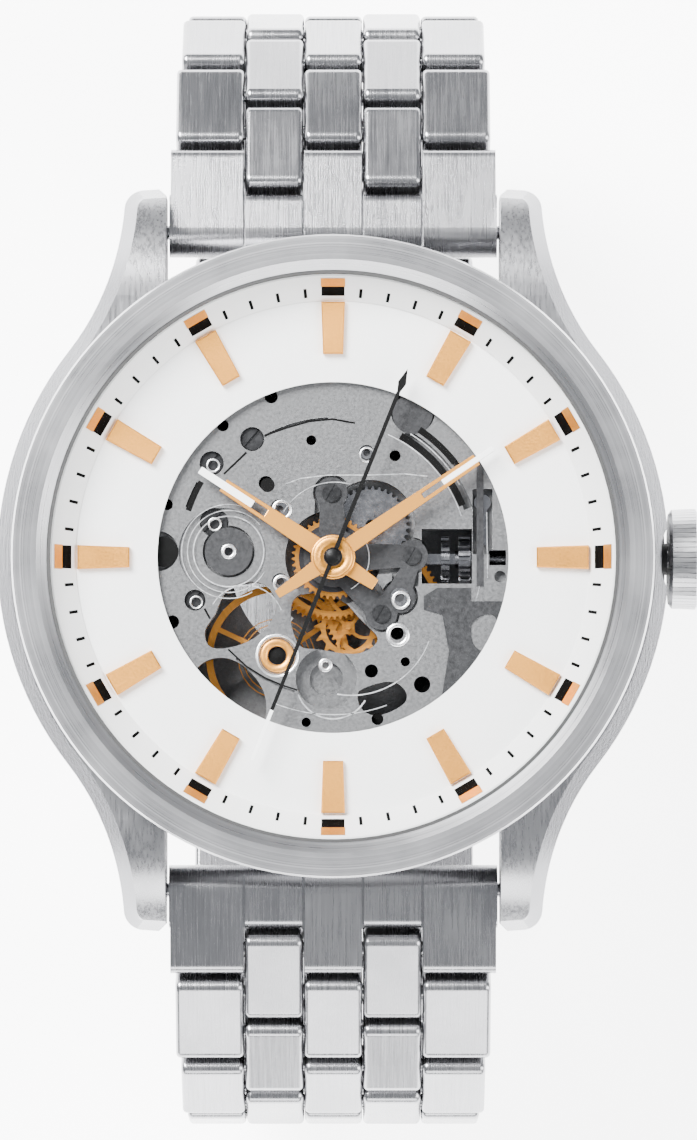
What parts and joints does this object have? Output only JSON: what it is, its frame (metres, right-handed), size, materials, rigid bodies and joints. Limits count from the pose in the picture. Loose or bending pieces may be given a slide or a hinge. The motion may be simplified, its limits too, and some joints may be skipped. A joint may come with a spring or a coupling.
{
  "type": "automatic wristwatch",
  "caption": "Automatic wristwatch with an open white dial, baton markers, brushed round case and a five-column steel link bracelet closed by a folding clasp.",
  "frame": {"origin": "centre of the case back's outer face, on the axis of the hands", "axes": "+X to 3 o'clock and the crown, +Y to 12 o'clock, +Z out of the dial"},
  "size_m": [0.042, 0.0688, 0.0434],
  "materials": {
    "brushed_case": "satin brushed steel with polished edges",
    "polished_steel": "polished steel",
    "bracelet_steel": "lengthwise brushed steel",
    "clear_glass": "clear flat mineral glass",
    "dial_white": "satin white",
    "gold": "fine brushed rose gold colour",
    "movement_grey": "fine sand-blasted grey plate",
    "bracket_dark": "dark grey coated",
    "movement_brass": "gilt brass",
    "pivot_steel": "fine ground steel",
    "black_hand": "black lacquer",
    "gasket_black": "matt",
    "jewel": "polished setting"
  },
  "bodies": {
    "head": {"mid_case": "brushed_case", "bezel": "brushed_case", "crystal": "clear_glass", "crystal_gasket": "gasket_black", "dial": "dial_white", "flange_ring": "dial_white", "hour_markers": "gold", "main_plate": "movement_grey", "motion_cover": "bracket_dark", "train_bridge": "movement_grey", "balance_cock": "movement_grey", "jewels": "jewel", "plate_screws": "pivot_steel", "keyless_cover": "bracket_dark", "case_back": "brushed_case", "case_back_glass": "clear_glass", "spring_bars": "pivot_steel"},
    "seconds": {"fourth_wheel": "movement_brass", "seconds_hand": "black_hand"},
    "third": {"third_wheel": "movement_brass"},
    "centre": {"centre_wheel": "movement_brass"},
    "barrel": {"mainspring_barrel": "movement_brass"},
    "escape": {"escape_wheel": "movement_brass"},
    "fork": {"pallet_fork": "pivot_steel"},
    "balance": {"balance_wheel": "movement_brass"},
    "minute": {"cannon_pinion": "pivot_steel", "minute_hand": "gold"},
    "reduction": {"minute_wheel": "pivot_steel"},
    "hour": {"hour_wheel": "movement_brass", "hour_hand": "gold"},
    "rotor": {"rotor": "movement_grey"},
    "crown_carrier": {"crown_gasket": "gasket_black"},
    "crown": {"crown": "brushed_case", "winding_stem": "pivot_steel"},
    "clutch": {"sliding_pinion": "pivot_steel"},
    "winder": {"winding_pinion": "pivot_steel"},
    "lever": {"setting_lever": "pivot_steel"},
    "end_12": {"end_link_12": "bracelet_steel"},
    "row_12_1": {"link_row_12_1": "bracelet_steel"},
    "row_12_2": {"link_row_12_2": "bracelet_steel"},
    "row_12_3": {"link_row_12_3": "bracelet_steel"},
    "row_12_4": {"link_row_12_4": "bracelet_steel"},
    "row_12_5": {"link_row_12_5": "bracelet_steel"},
    "row_12_6": {"link_row_12_6": "bracelet_steel"},
    "row_12_7": {"link_row_12_7": "bracelet_steel"},
    "row_12_8": {"link_row_12_8": "bracelet_steel"},
    "end_6": {"end_link_6": "bracelet_steel"},
    "row_6_1": {"link_row_6_1": "bracelet_steel"},
    "row_6_2": {"link_row_6_2": "bracelet_steel"},
    "row_6_3": {"link_row_6_3": "bracelet_steel"},
    "row_6_4": {"link_row_6_4": "bracelet_steel"},
    "row_6_5": {"link_row_6_5": "bracelet_steel"},
    "row_6_6": {"link_row_6_6": "bracelet_steel"},
    "row_6_7": {"link_row_6_7": "bracelet_steel"},
    "row_6_8": {"link_row_6_8": "bracelet_steel"},
    "cover": {"clasp_cover": "bracelet_steel"},
    "outer_blade": {"clasp_blade_outer": "bracelet_steel"},
    "inner_blade": {"clasp_blade_inner": "bracelet_steel"},
    "button_right": {"clasp_button_right": "bracelet_steel"},
    "button_left": {"clasp_button_left": "bracelet_steel"}
  },
  "joints": [
    {"name": "seconds_turn", "type": "hinge", "parent": "head", "child": "seconds", "pos_m": [0, 0, 0.009], "axis": [0, 0, -1], "continuous": true},
    {"name": "third_turn", "type": "hinge", "parent": "head", "child": "third", "pos_m": [0.0029, -0.00275, 0.0045], "axis": [0, 0, -1], "continuous": true},
    {"name": "centre_turn", "type": "hinge", "parent": "head", "child": "centre", "pos_m": [0, 0, 0.0055], "axis": [0, 0, -1], "continuous": true},
    {"name": "barrel_turn", "type": "hinge", "parent": "head", "child": "barrel", "pos_m": [-0.00396, 0.00396, 0.0045], "axis": [0, 0, -1], "continuous": true},
    {"name": "escape_turn", "type": "hinge", "parent": "head", "child": "escape", "pos_m": [0.0009, -0.0041, 0.0045], "axis": [0, 0, -1], "continuous": true},
    {"name": "minute_turn", "type": "hinge", "parent": "head", "child": "minute", "pos_m": [0, 0, 0.0093], "axis": [0, 0, -1], "continuous": true},
    {"name": "reduction_turn", "type": "hinge", "parent": "head", "child": "reduction", "pos_m": [0.00224, 0.00199, 0.0068], "axis": [0, 0, -1], "continuous": true},
    {"name": "hour_turn", "type": "hinge", "parent": "head", "child": "hour", "pos_m": [0, 0, 0.0089], "axis": [0, 0, -1], "continuous": true},
    {"name": "balance_swing", "type": "hinge", "parent": "head", "child": "balance", "pos_m": [-0.00333, -0.00583, 0.0042], "axis": [0, 0, 1], "range_deg": [-135, 135], "stiffness_Nm_per_rad": 0.000001},
    {"name": "fork_swing", "type": "hinge", "parent": "head", "child": "fork", "pos_m": [-0.0005, -0.00633, 0.0049], "axis": [0, 0, 1], "range_deg": [-5, 5]},
    {"name": "rotor_turn", "type": "hinge", "parent": "head", "child": "rotor", "pos_m": [0, 0, 0.0022], "axis": [0, 0, 1], "continuous": true},
    {"name": "crown_pull", "type": "slide", "parent": "head", "child": "crown_carrier", "axis": [1, 0, 0], "range_m": [0, 0.0012]},
    {"name": "crown_turn", "type": "hinge", "parent": "crown_carrier", "child": "crown", "pos_m": [0.021, 0, 0.0052], "axis": [1, 0, 0], "continuous": true},
    {"name": "clutch_turn", "type": "hinge", "parent": "head", "child": "clutch", "pos_m": [0.0067, 0, 0.0052], "axis": [1, 0, 0], "continuous": true},
    {"name": "winder_turn", "type": "hinge", "parent": "head", "child": "winder", "pos_m": [0.00785, 0, 0.0052], "axis": [1, 0, 0], "continuous": true},
    {"name": "lever_swing", "type": "hinge", "parent": "head", "child": "lever", "pos_m": [0.0089, 0.0033, 0.0072], "axis": [0, 0, 1], "range_deg": [0, 6]},
    {"name": "end_link_hinge_12", "type": "hinge", "parent": "head", "child": "end_12", "pos_m": [0, 0.0198, 0.0026], "axis": [1, 0, 0], "range_deg": [0, 5]},
    {"name": "link_hinge_12_1", "type": "hinge", "parent": "end_12", "child": "row_12_1", "pos_m": [0, 0.02337, 0.0021], "axis": [1, 0, 0], "range_deg": [0, 15.5]},
    {"name": "link_hinge_12_2", "type": "hinge", "parent": "row_12_1", "child": "row_12_2", "pos_m": [0, 0.02832, -0.00048], "axis": [1, 0, 0], "range_deg": [0, 12.5]},
    {"name": "link_hinge_12_3", "type": "hinge", "parent": "row_12_2", "child": "row_12_3", "pos_m": [0, 0.03182, -0.0048], "axis": [1, 0, 0], "range_deg": [0, 14.5]},
    {"name": "link_hinge_12_4", "type": "hinge", "parent": "row_12_3", "child": "row_12_4", "pos_m": [0, 0.03293, -0.01026], "axis": [1, 0, 0], "range_deg": [0, 7.5]},
    {"name": "link_hinge_12_5", "type": "hinge", "parent": "row_12_4", "child": "row_12_5", "pos_m": [0, 0.03235, -0.01582], "axis": [1, 0, 0], "range_deg": [0, 7.5]},
    {"name": "link_hinge_12_6", "type": "hinge", "parent": "row_12_5", "child": "row_12_6", "pos_m": [0, 0.03026, -0.021], "axis": [1, 0, 0], "range_deg": [0, 7.5]},
    {"name": "link_hinge_12_7", "type": "hinge", "parent": "row_12_6", "child": "row_12_7", "pos_m": [0, 0.02678, -0.02537], "axis": [1, 0, 0], "range_deg": [0, 9.5]},
    {"name": "link_hinge_12_8", "type": "hinge", "parent": "row_12_7", "child": "row_12_8", "pos_m": [0, 0.02205, -0.02832], "axis": [1, 0, 0], "range_deg": [0, 9.5]},
    {"name": "end_link_hinge_6", "type": "hinge", "parent": "head", "child": "end_6", "pos_m": [0, -0.0198, 0.0026], "axis": [-1, 0, 0], "range_deg": [0, 5]},
    {"name": "link_hinge_6_1", "type": "hinge", "parent": "end_6", "child": "row_6_1", "pos_m": [0, -0.02337, 0.0021], "axis": [-1, 0, 0], "range_deg": [0, 15.5]},
    {"name": "link_hinge_6_2", "type": "hinge", "parent": "row_6_1", "child": "row_6_2", "pos_m": [0, -0.02832, -0.00048], "axis": [-1, 0, 0], "range_deg": [0, 12.5]},
    {"name": "link_hinge_6_3", "type": "hinge", "parent": "row_6_2", "child": "row_6_3", "pos_m": [0, -0.03182, -0.0048], "axis": [-1, 0, 0], "range_deg": [0, 14.5]},
    {"name": "link_hinge_6_4", "type": "hinge", "parent": "row_6_3", "child": "row_6_4", "pos_m": [0, -0.03293, -0.01026], "axis": [-1, 0, 0], "range_deg": [0, 7.5]},
    {"name": "link_hinge_6_5", "type": "hinge", "parent": "row_6_4", "child": "row_6_5", "pos_m": [0, -0.03235, -0.01582], "axis": [-1, 0, 0], "range_deg": [0, 7.5]},
    {"name": "link_hinge_6_6", "type": "hinge", "parent": "row_6_5", "child": "row_6_6", "pos_m": [0, -0.03026, -0.021], "axis": [-1, 0, 0], "range_deg": [0, 7.5]},
    {"name": "link_hinge_6_7", "type": "hinge", "parent": "row_6_6", "child": "row_6_7", "pos_m": [0, -0.02678, -0.02537], "axis": [-1, 0, 0], "range_deg": [0, 9.5]},
    {"name": "link_hinge_6_8", "type": "hinge", "parent": "row_6_7", "child": "row_6_8", "pos_m": [0, -0.02205, -0.02832], "axis": [-1, 0, 0], "range_deg": [0, 9.5]},
    {"name": "clasp_hinge", "type": "hinge", "parent": "row_6_8", "child": "cover", "pos_m": [0, -0.0166, -0.02953], "axis": [-1, 0, 0], "range_deg": [0, 60]},
    {"name": "blade_hinge", "type": "hinge", "parent": "cover", "child": "outer_blade", "pos_m": [0, 0.012, -0.03005], "axis": [-1, 0, 0], "range_deg": [0, 60]},
    {"name": "fold_hinge", "type": "hinge", "parent": "outer_blade", "child": "inner_blade", "pos_m": [0, -0.012, -0.02895], "axis": [-1, 0, 0], "range_deg": [-60, 0]},
    {"name": "button_right_press", "type": "slide", "parent": "cover", "child": "button_right", "axis": [-1, 0, 0], "range_m": [0, 0.0006], "stiffness_N_per_m": 400},
    {"name": "button_left_press", "type": "slide", "parent": "cover", "child": "button_left", "axis": [1, 0, 0], "range_m": [0, 0.0006], "stiffness_N_per_m": 400}
  ],
  "couplings": [
    {"joint": "third_turn", "follows": "seconds_turn", "ratio": -0.13333},
    {"joint": "centre_turn", "follows": "seconds_turn", "ratio": 0.016667},
    {"joint": "barrel_turn", "follows": "seconds_turn", "ratio": -0.0020833},
    {"joint": "escape_turn", "follows": "seconds_turn", "ratio": -10},
    {"joint": "minute_turn", "follows": "seconds_turn", "ratio": 0.016667},
    {"joint": "reduction_turn", "follows": "seconds_turn", "ratio": -0.0055556},
    {"joint": "hour_turn", "follows": "seconds_turn", "ratio": 0.0013889},
    {"joint": "clutch_turn", "follows": "crown_turn", "ratio": 1},
    {"joint": "winder_turn", "follows": "crown_turn", "ratio": 1},
    {"joint": "lever_swing", "follows": "crown_pull", "rad_per_m": 87.266},
    {"joint": "fold_hinge", "follows": "blade_hinge", "ratio": -1}
  ]
}
